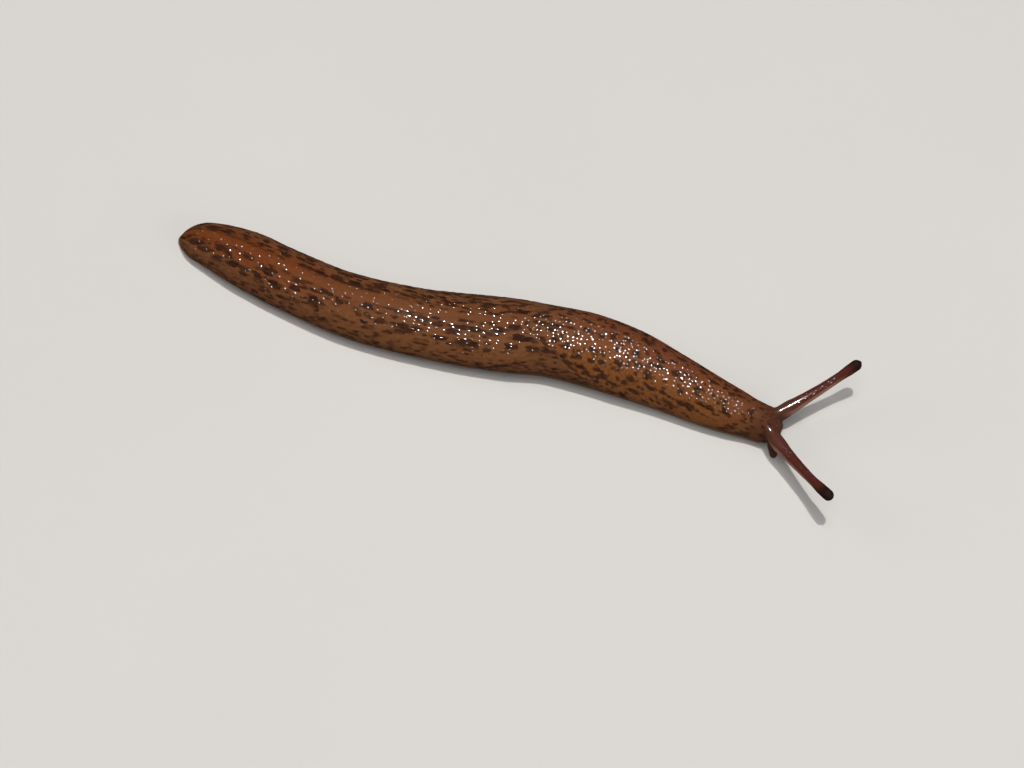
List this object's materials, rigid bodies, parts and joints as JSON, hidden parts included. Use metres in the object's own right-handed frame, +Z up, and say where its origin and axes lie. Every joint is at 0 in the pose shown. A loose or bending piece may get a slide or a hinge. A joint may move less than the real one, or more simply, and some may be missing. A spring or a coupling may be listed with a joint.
{
  "type": "metalimax slug",
  "caption": "Life-size model of a crawling keelback slug with its mantle, keeled tail, sole and tentacles stretched out.",
  "frame": {"origin": "middle of the part's box in plan, on the ground under the sole", "axes": "+X towards the head, +Y towards the animal's left, +Z up"},
  "size_m": [0.0892, 0.0192, 0.0076],
  "materials": {
    "skin": "wet skin, brown with dark blotches",
    "mantle": "wet granular skin, orange-brown with dark spots",
    "sole": "wet, pale grey-brown",
    "tentacle": "wet, reddish brown",
    "eye": "glossy, nearly black"
  },
  "bodies": {
    "root": {"tail": "skin", "back_rear": "skin", "back_front": "skin", "trunk_rear": "skin", "trunk_front": "skin", "neck": "skin", "head": "skin", "mantle": "mantle", "foot_tail": "sole", "foot_rear": "sole", "foot_middle": "sole", "foot_front": "sole", "left_tentacle_root": "tentacle", "left_tentacle_shaft": "tentacle", "left_tentacle_bulb": "tentacle", "left_eye": "eye", "left_feeler": "tentacle", "right_tentacle_root": "tentacle", "right_tentacle_shaft": "tentacle", "right_tentacle_bulb": "tentacle", "right_eye": "eye", "right_feeler": "tentacle"}
  },
  "joints": []
}
